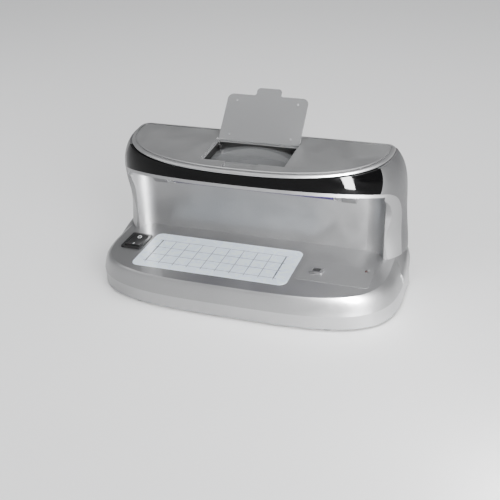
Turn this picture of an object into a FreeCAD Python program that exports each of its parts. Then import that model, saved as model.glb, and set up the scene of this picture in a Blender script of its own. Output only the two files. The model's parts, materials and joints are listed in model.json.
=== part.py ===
import FreeCAD, Part
import math
import os

# Counterfeit banknote detector with a magnifier window, millimetres.
# X runs to the right, Y to the rear, Z up. Z = 0 is the surface that the rubber feet stand on.

V = FreeCAD.Vector
X_DIR = V(1, 0, 0)
Y_DIR = V(0, 1, 0)
Z_DIR = V(0, 0, 1)

# ---- driving dimensions ----
WALL = 2.2                  # moulded wall
GAP = 0.2                   # clearance between pieces that are screwed together
SLIP = 0.05                 # radial clearance of a screw in its hole

PAN_Z = 1.5                 # lower edge of the base pan
CREASE_Z = 12.0             # parting line between base pan and front housing
DECK_Z = 25.0               # work surface
DECK_THICK = 2.4
BACK_Y = 46.5               # rear wall
SIDE_Y = 36.0               # where the bowed sides run into the straight rear part

BASE_HALF = 104.0           # half width at the parting line
BASE_FRONT = -47.3
DECK_HALF = 96.1            # half width of the flat work surface
DECK_FRONT = -46.1

BAND_Z = 82.9               # lower edge of the fascia band above BAND_Y
BAND_Y = -17.5
BAND_SLOPE = -0.272         # the hood's lower edge falls towards the rear
BAND_END_Y = 6.3            # the band stops here on both sides
BAND_END_LEAN = 0.25        # the end of the band leans back by this much per millimetre of height
BAND_THICK = 2.4
LIP = 2.3                   # silver lip under the band

RIM_Z = 91.2                # underside of the top cover above BAND_Y
RIM_SLOPE = 0.060           # the top rises towards the rear
RIM_HALF = 90.2
RIM_FRONT = -20.3
RIM_POWER = 2.4

BAY_EDGE_Y = 16.5           # front edge of the side columns
BAY_EDGE_R = 25.0
BAY_BACK_Y = 26.0           # back wall of the note bay
BAY_HALF = 89.6
BAY_CORNER_R = 14.0
COLUMN_Y = 27.0             # silver column meets the rear cover here
COLUMN_R = 28.0

PLATE = (-18.0, -11.3)      # centre of the lit measuring plate
PLATE_SIZE = (108.0, 47.0)
PLATE_R = 5.0
PLATE_THICK = 1.7
PLATE_SEAT = 1.5            # depth of the plate's seat in the work surface
SWITCH = (-81.4, -4.1)      # centre of the rocker switch
SWITCH_SIZE = (15.0, 21.4)
SENSOR = (50.6, -11.4)      # centre of the magnetic head
SENSOR_SIZE = (8.4, 7.4)
LAMP = (81.7, -3.3)         # indicator
LABEL = (40.0, 87.0, -24.3, 1.2)

TUBE_Y = 16.2               # ultraviolet tube
TUBE_Z = 72.6
TUBE_R = 7.75
TUBE_HALF = 61.0

LID_HALF = 28.4
LID_LENGTH = 34.0
LID_THICK = 1.2
LID_TAB = (8.7, 5.6)        # half width and length of the finger tab
LID_OPEN = 45.0             # the open lid leans this far above the horizontal, to the rear
HINGE_V = 27.3              # hinge axis, along the tilted top
HINGE_W = 1.2               # and above the rim plane
HINGE_R = 0.6               # radius of the lid's hinge pins
LEDGE = 0.5                 # height of the lid's seat above the rim plane
TOP_FACE = 2.3              # height of the top's flat field above the rim plane
WELL_HALF = 27.2
WELL_FRONT = -4.4
WELL_REAR = 24.8

LENS_SIZE = (54.0, 28.8)
LENS_R = 89.0               # radius of its domed face
LENS_BASE = -7.4           # underside of the magnifier, from the rim plane
LENS_EDGE = 2.0

SCREW_R = 1.4
HEAD_R = 2.7
POST_R = 3.6

# Screw posts, feet and cut-outs: X and Y, or X and Z in the rear wall
BASE_POSTS = ((-84.0, -25.0), (84.0, -25.0), (-86.0, 36.5), (86.0, 36.5))
FEET = ((-64.0, -35.0), (64.0, -35.0), (-88.0, 20.0), (88.0, 20.0))
TOP_POSTS = ((-46.0, 4.0), (46.0, 4.0))
REAR_BOSSES = ((-62.0, 42.0), (62.0, 42.0), (-62.0, 66.0), (62.0, 66.0))
INLET = (80.0, 38.0)        # X and Z of the mains inlet in the rear wall
INLET_SIZE = (22.0, 13.0)
WINDOW = (26.0, -9.5, 4.0)  # half width, front and rear of the viewing window in the roof
TROUGH = (72.0, 6.4, 25.9)  # half width, front and rear of the tube's cut-out in the roof
CLAMP_SCREWS = ((-31.5, 2.0), (31.5, 2.0), (-31.5, 18.0), (31.5, 18.0))

ROCKER_R = 8.5              # the rocker's ends are arcs about its pivot
ROCKER_Z = DECK_Z - 2.2
ROCKER_PIN = 1.0
LAMP_R = 0.95               # radius of the indicator

# Control board stands upright behind the note bay, the power board lies in the base
BOARD_X = (-30.0, 50.0)
BOARD_Z = (34.0, 64.0)
BOARD_Y = 33.0
BOARD_THICK = 1.6
POWER_X = (56.0, 90.0)
POWER_Y = (0.0, 28.0)
POWER_Z = 7.6

# Plan outlines of the hood by height: z, half width, front, power of the curve, back
HOOD_LEVELS = (
    (DECK_Z - 2.0, 101.4, -17.0, 1.87, 46.4),
    (50.0, 99.8, -17.4, 1.88, 46.1),
    (74.0, 98.7, -18.0, 2.44, 45.4),
    (86.0, 96.4, -19.2, 2.48, 44.2),
    (98.0, 88.0, -21.0, 2.38, 41.2),
)
# The same for the upper part of the base
APRON_LEVELS = (
    (CREASE_Z, BASE_HALF, BASE_FRONT, 3.50, 17.0),
    (19.5, 101.6, BASE_FRONT + 0.1, 3.50, 14.0),
    (23.4, 98.6, BASE_FRONT + 0.4, 3.52, 11.0),
    (DECK_Z, DECK_HALF, DECK_FRONT, 3.56, 9.0),
)
PAN_LEVELS = (
    (PAN_Z, 104.5, -44.8, 3.50, 17.0),
    (CREASE_Z, BASE_HALF, BASE_FRONT, 3.50, 17.0),
)

# The open lid reaches furthest back, the base furthest forward: the origin is half way
TILT = math.atan(RIM_SLOPE)
LID_SWING = 180.0 - LID_OPEN + math.degrees(TILT)
HINGE_Y = BAND_Y + (HINGE_V - BAND_Y) * math.cos(TILT) - HINGE_W * math.sin(TILT)
LID_TIP_Y = HINGE_Y + (LID_LENGTH + LID_TAB[1]) * math.cos(math.radians(LID_OPEN))
LID_TIP_Y += LID_THICK / 2 * math.sin(math.radians(LID_OPEN))
OFFSET_Y = -(LID_TIP_Y + BASE_FRONT) / 2


# ---- helpers ----
def box(x0, x1, y0, y1, z0, z1):
    return Part.makeBox(x1 - x0, y1 - y0, z1 - z0, V(x0, y0, z0))


def rod(radius, start, direction, length):
    return Part.makeCylinder(radius, length, V(*start), direction)


def post(radius, x, y, z0, z1):
    return Part.makeCylinder(radius, z1 - z0, V(x, y, z0), Z_DIR)


def fuse(shapes):
    shapes = list(shapes)
    return shapes[0] if len(shapes) == 1 else shapes[0].multiFuse(shapes[1:])


def cut(shape, tools):
    for tool in tools:
        shape = shape.cut(tool)
    return shape


def round_rect(cx, cy, w, d, r, z0, z1):
    """Upright block with round vertical edges."""
    block = box(cx - w / 2, cx + w / 2, cy - d / 2, cy + d / 2, z0, z1)
    upright = [e for e in block.Edges if abs(e.Vertexes[0].Z - e.Vertexes[1].Z) > 1e-6]
    return block.makeFillet(r, upright)


def outline(z, half, front, power, widest, back, corner):
    """Closed plan outline: bowed front by a superellipse, straight back, round rear corners."""
    depth = widest - front
    points = []
    steps = 16
    for i in range(steps + 1):
        c = math.cos(math.pi * i / steps)
        s = max(math.sin(math.pi * i / steps), 0.0)
        x = math.copysign(abs(c) ** (2 / power), c) * half
        points.append(V(x, widest - depth * s ** (2 / power), z))
    points[0] = V(half, widest, z)
    points[-1] = V(-half, widest, z)
    bow = Part.BSplineCurve()
    bow.interpolate(points)
    q = corner * (1 - math.sqrt(0.5))
    left = [V(-half, back - corner, z), V(-half + q, back - q, z), V(-half + corner, back, z)]
    right = [V(half - corner, back, z), V(half - q, back - q, z), V(half, back - corner, z)]
    edges = [
        bow.toShape(),
        Part.makeLine(points[-1], left[0]),
        Part.Arc(*left).toShape(),
        Part.makeLine(left[2], right[0]),
        Part.Arc(*right).toShape(),
        Part.makeLine(right[2], points[0]),
    ]
    return Part.Wire(edges)


def hood(inset=0.0):
    """Solid of the hood and columns, from the work surface to above the top."""
    wires = []
    for z, half, front, power, back in HOOD_LEVELS:
        corner = max(back - SIDE_Y - 0.8 - inset, 1.5)
        wires.append(outline(z, half - inset, front + inset, power, SIDE_Y - inset / 2,
                             back - inset, corner))
    return Part.makeLoft(wires, True, False)


def base_loft(levels, inset=0.0, rise=0.0):
    wires = []
    for z, half, front, power, widest in levels:
        wires.append(outline(z + rise, half - inset, front + inset, power, widest,
                             BACK_Y - inset, 16.0 - inset))
    return Part.makeLoft(wires, True, False)


def tilted(shape, slope, z):
    """Turn a shape built on the plane z = 0 into a plane that slopes along Y."""
    turned = shape.copy()
    turned.translate(V(0, -BAND_Y, 0))
    turned.rotate(V(0, 0, 0), X_DIR, math.degrees(math.atan(slope)))
    turned.translate(V(0, BAND_Y, z))
    return turned


def above(slope, z):
    """Everything above a sloping plane."""
    return tilted(box(-150, 150, -100, 100, 0, 120), slope, z)


def side_profile(edge_y, radius, roof_z, front=-90.0, floor=DECK_Z):
    """Region under a sloping roof and in front of an upright edge, across the whole width."""
    lean = math.atan(-BAND_SLOPE)
    corner_z = roof_z + BAND_SLOPE * (edge_y - BAND_Y)
    tangent = radius * math.tan((math.pi / 2 - lean) / 2)
    start = V(0, edge_y, corner_z - tangent)
    end = V(0, edge_y - tangent * math.cos(lean), corner_z + tangent * math.sin(lean))
    centre = V(0, edge_y - radius, corner_z - tangent)
    half_turn = (math.pi / 2 - lean) / 2
    middle = centre + V(0, math.cos(half_turn), math.sin(half_turn)) * radius
    roof_front = V(0, front, roof_z + BAND_SLOPE * (front - BAND_Y))
    wire = Part.Wire([
        Part.makeLine(V(0, front, floor), V(0, edge_y, floor)),
        Part.makeLine(V(0, edge_y, floor), start),
        Part.Arc(start, middle, end).toShape(),
        Part.makeLine(end, roof_front),
        Part.makeLine(roof_front, V(0, front, floor)),
    ])
    region = Part.Face(wire).extrude(V(280, 0, 0))
    region.translate(V(-140, 0, 0))
    return region


def before_band_end(gap=0.0):
    """Region in front of the leaning line where the fascia band ends on both sides."""
    def at(z):
        return V(0, BAND_END_Y - gap + BAND_END_LEAN * (z - BAND_Z), z)

    wire = Part.makePolygon([V(0, -90, 60), at(60), at(120), V(0, -90, 120), V(0, -90, 60)])
    region = Part.Face(wire).extrude(V(280, 0, 0))
    region.translate(V(-140, 0, 0))
    return region


def bay(grow=0.0):
    """The open note bay in two parts. Growing it by a wall gives the outside of its liner."""
    floor = DECK_Z - 2.0
    roof = BAND_Z - LIP + grow * 1.04
    mouth = side_profile(BAY_EDGE_Y + grow, BAY_EDGE_R + grow, roof, floor=floor)
    half = BAY_HALF + grow
    rear = box(-half, half, 0, BAY_BACK_Y + grow, floor, 84)
    corners = [e for e in rear.Edges if e.BoundBox.ZLength > 50 and e.BoundBox.YMin > 1]
    rear = rear.makeFillet(BAY_CORNER_R + grow, corners)
    return mouth, rear.cut(above(BAND_SLOPE, roof))


def export(name, shape):
    moved = shape.copy()
    moved.translate(V(0, OFFSET_Y, 0))
    moved.exportStep("parts/" + name + ".step")


# ---- casings ----
def top_point(x, v, w):
    """A point given along the tilted top: x across, v to the rear, w above the rim plane."""
    run = v - BAND_Y
    y = BAND_Y + run * math.cos(TILT) - w * math.sin(TILT)
    z = RIM_Z + run * math.sin(TILT) + w * math.cos(TILT)
    return V(x, y, z)


def roof_z(y):
    """Height of the roof of the note bay."""
    return BAND_Z - LIP + BAND_SLOPE * (y - BAND_Y)


def base_pan():
    shell = base_loft(PAN_LEVELS).cut(
        base_loft(PAN_LEVELS, WALL, WALL).common(box(-120, 120, -60, 60, 0, CREASE_Z)))
    shell = shell.cut(base_loft(PAN_LEVELS, WALL).common(box(-120, 120, -60, 60, 8, CREASE_Z + 1)))
    bosses = [post(POST_R + 0.8, x, y, PAN_Z + 0.5, 6.4) for x, y in BASE_POSTS]
    shell = fuse([shell] + bosses)
    holes = [post(SCREW_R + SLIP, x, y, 0, 10) for x, y in BASE_POSTS]
    sinks = [post(HEAD_R + 0.3, x, y, 0, PAN_Z + 2.0) for x, y in BASE_POSTS]
    vents = [round_rect(x, y, 2.4, 16.0, 1.1, 0, 5) for y in (-8.0, 16.0) for x in range(-30, 31, 6)]
    feet = [post(5.6, x, y, 0, PAN_Z + 0.8) for x, y in FEET]
    return cut(shell, holes + sinks + vents + feet)


def foot_blend():
    """Flare that carries the base's side up into the columns."""
    low = outline(CREASE_Z, BASE_HALF, BASE_FRONT, 3.5, 17.0, BACK_Y, 16.0)
    z, half, front, power, back = HOOD_LEVELS[0]
    middle = outline(19.0, 103.6, -34.0, 2.6, 27.0, BACK_Y, 12.0)
    high = outline(DECK_Z, half, front, power, SIDE_Y, back, back - SIDE_Y - 0.8)
    return Part.makeLoft([low, middle, high], True, False).common(box(-120, 120, 10, 60, 0, 90))


def front_housing(outer, inner):
    apron = base_loft(APRON_LEVELS)
    hollow = base_loft(APRON_LEVELS, WALL).common(box(-120, 120, -60, 60, 0, DECK_Z - DECK_THICK))
    base = apron.fuse(foot_blend()).cut(hollow)
    mouth, rear = bay()
    wide_mouth, wide_rear = bay(WALL)
    columns = outer.common(side_profile(COLUMN_Y, COLUMN_R, BAND_Z, floor=DECK_Z - 1)).cut(inner)
    liner = inner.common(wide_mouth.fuse(wide_rear))
    skin = cut(columns.fuse(liner), (mouth, rear))
    wall = hood(BAND_THICK + GAP).cut(hood(BAND_THICK + GAP + 2.0))
    wall = wall.common(above(BAND_SLOPE, BAND_Z - 1.6)).cut(above(RIM_SLOPE, RIM_Z - GAP))
    wall = wall.common(before_band_end(1.0))
    posts = [post(POST_R, x, y, 6.6, DECK_Z - 1) for x, y in BASE_POSTS]
    bosses = [rod(POST_R, (x, BAY_BACK_Y + 1, z), Y_DIR, 15.2) for x, z in REAR_BOSSES]
    px, py = PLATE
    pw, pd = PLATE_SIZE
    deck_cuts = [
        round_rect(px, py, pw + 0.4, pd + 0.4, PLATE_R + 0.2, DECK_Z - PLATE_SEAT, 40),
        round_rect(px, py, pw - 6, pd - 6, 3.0, 10, 40),
        round_rect(SWITCH[0], SWITCH[1], SWITCH_SIZE[0] - 1.6, SWITCH_SIZE[1] - 1.6, 0.6, 10, 40),
        round_rect(SENSOR[0], SENSOR[1], SENSOR_SIZE[0] + 0.2, SENSOR_SIZE[1] + 0.2, 0.6, 10, 40),
        post(LAMP_R + 0.1, LAMP[0], LAMP[1], 10, 40),
        box(-60, 60, BAY_BACK_Y + WALL + 4, BACK_Y - WALL - 3, 15, DECK_Z + 1),
        box(70.5, 80.5, BAY_BACK_Y + WALL + 2, BAY_BACK_Y + WALL + 8, 15, DECK_Z + 1),
    ]
    base = cut(fuse([base] + posts), deck_cuts + [post(SCREW_R + SLIP, x, y, 0, 18) for x, y in BASE_POSTS])
    roof_cuts = [
        box(-WINDOW[0], WINDOW[0], WINDOW[1], WINDOW[2], 60, 88),
        box(-TROUGH[0], TROUGH[0], TROUGH[1], TROUGH[2], 60, 88),
    ]
    roof_cuts += [rod(SCREW_R + SLIP, (x, BAY_BACK_Y + 3, z), Y_DIR, 30) for x, z in REAR_BOSSES]
    roof_cuts += [post(SCREW_R + SLIP, x, y, 60, 84) for x, y in TOP_POSTS]
    roof_cuts += [post(HEAD_R + 0.3, x, y, 60, roof_z(y) + 0.9) for x, y in TOP_POSTS]
    skin = cut(fuse([skin] + bosses), roof_cuts)
    return fuse([base, skin, wall])


def rear_cover(outer, inner):
    shell = outer.cut(inner)
    shell = shell.cut(side_profile(COLUMN_Y + 0.1, COLUMN_R + 0.1, BAND_Z + 0.1, floor=DECK_Z - 1))
    shell = shell.cut(before_band_end())
    shell = shell.cut(above(RIM_SLOPE, RIM_Z - 0.05)).common(box(-130, 130, -90, 90, DECK_Z + 0.1, 120))
    x, z = INLET
    w, h = INLET_SIZE
    cuts = [box(x - w / 2 + 1.2, x + w / 2 - 1.2, 40, 60, z - h / 2 + 1.2, z + h / 2 - 1.2)]
    cuts += [rod(SCREW_R + SLIP, (px, 40, pz), Y_DIR, 20) for px, pz in REAR_BOSSES]
    cuts += [rod(HEAD_R + 0.3, (px, BACK_Y - 1.3, pz), Y_DIR, 5) for px, pz in REAR_BOSSES]
    cuts += [box(i * 5 - 1.1, i * 5 + 1.1, 40, 60, 58, 76) for i in range(-7, 8)]
    return cut(shell, cuts)


def fascia_band(outer):
    band = outer.cut(hood(BAND_THICK))
    band = band.common(above(BAND_SLOPE, BAND_Z)).cut(above(RIM_SLOPE, RIM_Z))
    return band.common(before_band_end(0.1))


def rim_outline(inset, w):
    return outline(w, RIM_HALF - inset, RIM_FRONT + inset, RIM_POWER, SIDE_Y - 1.0 - inset / 2,
                   41.9 - inset, 6.4 - min(inset, 4.4))


def rim_loft(*steps):
    return Part.makeLoft([rim_outline(inset, w) for inset, w in steps], True, False)


def top_cover():
    """Built flat on the plane w = 0, then tilted."""
    bead = rim_loft((0.9, 0.05), (-0.1, 0.8), (0.1, 1.5), (1.2, 2.1))
    field = rim_loft((3.0, 1.2), (3.6, TOP_FACE - 0.25), (5.0, TOP_FACE))
    groove = rim_loft((2.2, 1.5), (2.2, 4.0)).cut(rim_loft((3.3, 1.0), (3.3, 5.0)))
    hollow = rim_loft((4.5, -1.0), (4.5, TOP_FACE - 2.0))
    plate = bead.fuse(field).cut(groove).cut(hollow)
    bed_rear = HINGE_V + hinge_room()
    bed_front = HINGE_V - LID_LENGTH - 0.4
    tab_front = bed_front - LID_TAB[1] - 1.5
    seat = box(-LID_HALF - 2.6, LID_HALF + 2.6, bed_front - 1.6, bed_rear + 1.6, LEDGE - 2.0, 1.4)
    seat = seat.fuse(box(-LID_TAB[0] - 4, LID_TAB[0] + 4, tab_front - 1.4, 0, -0.1, 1.4))
    skirt = box(-WELL_HALF - 1.8, WELL_HALF + 1.8, WELL_FRONT - 1.8, WELL_REAR + 1.8, LENS_BASE + 0.2, 0.6)
    bosses = [post(2.4, x, v, LENS_BASE + 0.2, 1.0) for x, v in CLAMP_SCREWS]
    shell = fuse([plate, seat, skirt] + bosses)
    lid_bed = round_rect(0, (bed_front + bed_rear) / 2, LID_HALF * 2 + 0.8, bed_rear - bed_front, 0.9, LEDGE, 9)
    tab_bed = round_rect(0, (tab_front + bed_front) / 2, LID_TAB[0] * 2 + 5.0,
                         bed_front - tab_front + 3, 1.5, LEDGE, 9)
    well = round_rect(0, (WELL_FRONT + WELL_REAR) / 2, WELL_HALF * 2, WELL_REAR - WELL_FRONT, 0.8, -10, 9)
    hinge = rod(HINGE_R + 0.05, (-LID_HALF - 1.6, HINGE_V, HINGE_W), X_DIR, LID_HALF * 2 + 3.2)
    shell = cut(shell, [lid_bed, tab_bed, well, hinge])
    shell = cut(shell, [post(0.85, x, v, -9, LENS_BASE + 5.8) for x, v in CLAMP_SCREWS])
    nibs = [post(1.6, x, v, LENS_BASE + 4.2, LENS_BASE + 6.2)
            for x in (-26.2, 26.2) for v in (WELL_FRONT + 1.0, WELL_REAR - 1.0)]
    turned = tilted(fuse([shell] + nibs), RIM_SLOPE, RIM_Z)
    legs = [post(POST_R - 0.4, x, y, roof_z(y - POST_R) + WALL + 0.25, top_point(x, y, 0.9).z)
            for x, y in TOP_POSTS]
    return cut(fuse([turned] + legs), [post(SCREW_R + SLIP, x, y, 70, RIM_Z - 1.0) for x, y in TOP_POSTS])


def hinge_room():
    """Distance from the hinge to the edge that the open lid leans on."""
    lean = math.radians(LID_OPEN) - TILT
    rise = TOP_FACE - HINGE_W
    return (LID_THICK / 2 + 0.05 + rise * math.cos(lean)) / math.sin(lean)


# ---- magnifier and lid ----
def flat_screw(radius, length, head_r, head_h):
    """Screw along +Z: the head's underside is at z = 0, the shank runs upwards."""
    screw = post(head_r, 0, 0, -head_h, 0).fuse(post(radius, 0, 0, -0.01, length))
    slot = head_r * 0.62
    cross = [box(-slot, slot, -0.3, 0.3, -head_h, -head_h * 0.45),
             box(-0.3, 0.3, -slot, slot, -head_h, -head_h * 0.45)]
    return cut(screw, cross)


def placed(shape, x, y, z):
    moved = shape.copy()
    moved.translate(V(x, y, z))
    return moved


def lens():
    cx, cy = 0, (WELL_FRONT + WELL_REAR) / 2
    w, d = LENS_SIZE
    reach = math.hypot(w / 2, d / 2)
    peak = LENS_BASE + LENS_EDGE + LENS_R - math.sqrt(LENS_R ** 2 - reach ** 2)
    block = round_rect(cx, cy, w, d, 1.0, LENS_BASE, 9)
    dome = Part.makeSphere(LENS_R, V(cx, cy, peak - LENS_R))
    return tilted(block.common(dome), RIM_SLOPE, RIM_Z)


def lens_clamp():
    cy = (WELL_FRONT + WELL_REAR) / 2
    frame = round_rect(0, cy, 68.5, 34.0, 2.5, LENS_BASE - 1.4, LENS_BASE - 0.05)
    frame = frame.cut(round_rect(0, cy, 50.4, 25.2, 1.5, LENS_BASE - 3, LENS_BASE + 2))
    frame = cut(frame, [post(0.95, x, v, -12, 0) for x, v in CLAMP_SCREWS])
    return tilted(frame, RIM_SLOPE, RIM_Z)


def clamp_screws():
    screw = flat_screw(0.8, 5.4, 1.7, 1.1)
    return Part.Compound([tilted(placed(screw, x, v, LENS_BASE - 1.42), RIM_SLOPE, RIM_Z)
                          for x, v in CLAMP_SCREWS])


def open_lid(shape):
    """Swing a piece modelled on the closed lid to the open rest position."""
    swung = shape.copy()
    swung.rotate(V(0, HINGE_V, HINGE_W), X_DIR, -LID_SWING)
    return tilted(swung, RIM_SLOPE, RIM_Z)


def magnifier_lid():
    half = LID_THICK / 2
    low, high = HINGE_W - half, HINGE_W + half
    plate = box(-LID_HALF, LID_HALF, HINGE_V - LID_LENGTH, HINGE_V, low, high)
    ends = [e for e in plate.Edges if e.BoundBox.ZLength > 1 and e.BoundBox.YMax < 0]
    plate = plate.makeFillet(4.0, ends)
    tab = box(-LID_TAB[0], LID_TAB[0], HINGE_V - LID_LENGTH - LID_TAB[1], HINGE_V - LID_LENGTH + 1, low, high)
    tips = [e for e in tab.Edges if e.BoundBox.ZLength > 1 and e.BoundBox.YMax < -10]
    tab = tab.makeFillet(2.6, tips)
    roll = rod(half, (-LID_HALF, HINGE_V, HINGE_W), X_DIR, LID_HALF * 2)
    pins = rod(HINGE_R, (-LID_HALF - 1.4, HINGE_V, HINGE_W), X_DIR, LID_HALF * 2 + 2.8)
    return open_lid(fuse([plate, tab, roll, pins]))


def lid_pips():
    under = HINGE_W - LID_THICK / 2
    spots = [(x, HINGE_V - s) for x in (-21.5, 21.5) for s in (3.8, 29.4)]
    return Part.Compound([open_lid(post(0.8, x, v, under - 0.45, under)) for x, v in spots])


# ---- work surface ----
def light_plate():
    px, py = PLATE
    pw, pd = PLATE_SIZE
    z0 = DECK_Z - PLATE_SEAT
    return round_rect(px, py, pw, pd, PLATE_R, z0, z0 + PLATE_THICK)


def light_box():
    px, py = PLATE
    pw, pd = PLATE_SIZE
    top = DECK_Z - DECK_THICK - 0.05
    tray = round_rect(px, py, pw - 2.0, pd - 2.0, 4.0, 8.5, top)
    return tray.cut(round_rect(px, py, pw - 5.6, pd - 5.6, 2.6, 9.9, top + 1))


def backlight_board():
    return round_rect(PLATE[0], PLATE[1], 100, 39, 2.0, 9.95, 11.2)


def backlight_leds():
    px, py = PLATE
    spots = [(px + i * 12, py + j * 12) for i in range(-4, 5) for j in (-1, 0, 1)]
    return Part.Compound([box(x - 1.8, x + 1.8, y - 1.4, y + 1.4, 11.25, 12.0) for x, y in spots])


def switch_body():
    x, y = SWITCH
    w, d = SWITCH_SIZE
    body = round_rect(x, y, w, d, 1.2, DECK_Z + 0.05, DECK_Z + 1.1)
    body = body.fuse(round_rect(x, y, w - 2.0, d - 2.0, 0.6, 11.5, DECK_Z + 0.5))
    body = body.cut(round_rect(x, y, w - 3.6, ROCKER_R * 2 + 0.6, 0.4, 13.0, 40))
    return body.cut(rod(ROCKER_PIN + 0.06, (x - 6.3, y, ROCKER_Z), X_DIR, 12.6))


def switch_rocker():
    x, y = SWITCH
    half = SWITCH_SIZE[0] / 2 - 2.0
    barrel = rod(ROCKER_R, (x - half, y, ROCKER_Z), X_DIR, half * 2)
    block = barrel.common(box(x - half, x + half, y - 10, y + 10, ROCKER_Z - 3.0, ROCKER_Z + 4.0))
    dish = rod(46.0, (x - 10, y, ROCKER_Z + 48.9), X_DIR, 20)
    pins = rod(ROCKER_PIN, (x - 6.2, y, ROCKER_Z), X_DIR, 12.4)
    return block.cut(dish).fuse(pins)


def switch_terminals():
    x, y = SWITCH
    return Part.Compound([box(x - 2.4, x + 2.4, y + s - 0.4, y + s + 0.4, 5.2, 11.45) for s in (-7, 0, 7)])


def sensor_frame():
    x, y = SENSOR
    w, d = SENSOR_SIZE
    return round_rect(x, y, w, d, 0.6, 19.2, DECK_Z + 1.4).cut(round_rect(x, y, 5.2, 4.8, 0.4, 10, 40))


def sensor_core():
    core = round_rect(SENSOR[0], SENSOR[1], 5.1, 4.7, 0.35, 19.2, DECK_Z + 1.1)
    return core.cut(box(SENSOR[0] - 4, SENSOR[0] + 4, SENSOR[1] - 0.15, SENSOR[1] + 0.15, DECK_Z + 0.6, 40))


def sensor_coil():
    return round_rect(SENSOR[0], SENSOR[1], 13.0, 11.0, 1.5, 11.0, 19.1)


def indicator_led():
    x, y = LAMP
    stem = post(LAMP_R, x, y, 18.5, DECK_Z + 0.1).fuse(post(LAMP_R + 0.6, x, y, 18.5, 19.6))
    dome = Part.makeSphere(LAMP_R, V(x, y, DECK_Z + 0.1))
    return stem.fuse(dome.common(box(x - 2, x + 2, y - 2, y + 2, DECK_Z - 0.5, DECK_Z + 2)))


def sensor_label():
    x0, x1, y0, y1 = LABEL
    film = round_rect((x0 + x1) / 2, (y0 + y1) / 2, x1 - x0, y1 - y0, 2.0, DECK_Z, DECK_Z + 0.2)
    window = round_rect(SENSOR[0], SENSOR[1], SENSOR_SIZE[0] + 0.6, SENSOR_SIZE[1] + 0.6, 0.8, 20, 30)
    return cut(film, [window, post(LAMP_R + 0.3, LAMP[0], LAMP[1], 20, 30)])


# ---- ultraviolet lamp ----
def uv_tube():
    glass = rod(TUBE_R, (-TUBE_HALF + 5, TUBE_Y, TUBE_Z), X_DIR, (TUBE_HALF - 5) * 2)
    return glass.cut(rod(TUBE_R - 0.8, (-TUBE_HALF, TUBE_Y, TUBE_Z), X_DIR, TUBE_HALF * 2))


def mirrored(shape):
    return shape.mirror(V(0, 0, 0), X_DIR)


def tube_caps():
    cap = rod(TUBE_R + 0.15, (TUBE_HALF - 4.95, TUBE_Y, TUBE_Z), X_DIR, 4.95)
    pins = [rod(1.1, (TUBE_HALF - 0.1, TUBE_Y, TUBE_Z + s), X_DIR, 6.6) for s in (-2.4, 2.4)]
    cap = fuse([cap] + pins)
    return Part.Compound([cap, mirrored(cap)])


def lamp_holders():
    block = rod(TUBE_R + 0.7, (TUBE_HALF + 0.4, TUBE_Y, TUBE_Z), X_DIR, 9.2)
    holes = [rod(1.2, (TUBE_HALF, TUBE_Y, TUBE_Z + s), X_DIR, 7.4) for s in (-2.4, 2.4)]
    block = cut(block, holes)
    return Part.Compound([block, mirrored(block)])


def lamp_reflector():
    outer_r, inner_r = TUBE_R + 1.7, TUBE_R + 1.1
    half = TUBE_HALF + 10.4
    shell = rod(outer_r, (-half, TUBE_Y, TUBE_Z), X_DIR, half * 2)
    shell = shell.fuse(box(-half, half, TUBE_Y - outer_r, TUBE_Y + outer_r, TUBE_Z - 1.6, TUBE_Z))
    inside = rod(inner_r, (-half + 0.7, TUBE_Y, TUBE_Z), X_DIR, half * 2 - 1.4)
    inside = inside.fuse(box(-half + 0.7, half - 0.7, TUBE_Y - inner_r, TUBE_Y + inner_r, TUBE_Z - 9, TUBE_Z))
    return shell.cut(inside).cut(box(-100, 100, TUBE_Y - 15, TUBE_Y + 15, TUBE_Z - 15, TUBE_Z - 1.6))


# ---- electronics ----
def board_corners(inset=4.0):
    return [(x, z) for x in (BOARD_X[0] + inset, BOARD_X[1] - inset)
            for z in (BOARD_Z[0] + inset, BOARD_Z[1] - inset)]


def power_corners(inset=3.5):
    return [(x, y) for x in (POWER_X[0] + inset, POWER_X[1] - inset)
            for y in (POWER_Y[0] + inset, POWER_Y[1] - inset)]


def control_board():
    board = box(BOARD_X[0], BOARD_X[1], BOARD_Y, BOARD_Y + BOARD_THICK, BOARD_Z[0], BOARD_Z[1])
    return cut(board, [rod(1.3, (x, BOARD_Y - 1, z), Y_DIR, 5) for x, z in board_corners()])


def board_standoffs():
    y0 = BAY_BACK_Y + WALL + 0.05
    sleeves = []
    for x, z in board_corners():
        sleeve = rod(2.6, (x, y0, z), Y_DIR, BOARD_Y - y0 - 0.02)
        sleeves.append(sleeve.cut(rod(1.15, (x, y0 + 1, z), Y_DIR, 10)))
    return Part.Compound(sleeves)


def board_screws():
    screw = flat_screw(1.1, 4.6, 2.1, 1.2)
    screw.rotate(V(0, 0, 0), X_DIR, 90)
    return Part.Compound([placed(screw, x, BOARD_Y + BOARD_THICK + 0.02, z) for x, z in board_corners()])


def lamp_inverter():
    y0 = BOARD_Y + BOARD_THICK + 0.02
    core = box(20, 36, y0, y0 + 8.2, 44, 58)
    winding = box(22, 34, y0, y0 + 8.6, 46.5, 55.5)
    former = box(22.2, 33.8, y0, y0 + 8.0, 46.7, 55.3).fuse(box(20.4, 35.6, y0, y0 + 1.4, 45, 57))
    return core.cut(winding).fuse(former)


def capacitors():
    y0 = BOARD_Y + BOARD_THICK + 0.02
    upright = [rod(3.1, (x, y0, 40.5), Y_DIR, 8.0) for x in (2.0, 10.0)]
    return Part.Compound(upright + [post(3.6, 63.0, y, POWER_Z + 1.62, 20.5) for y in (10.0, 18.0)])


def control_chips():
    y0 = BOARD_Y + BOARD_THICK + 0.02
    return Part.Compound([box(-10, 2, y0, y0 + 1.6, 50, 57), box(7, 13, y0, y0 + 1.5, 52, 57)])


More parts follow.
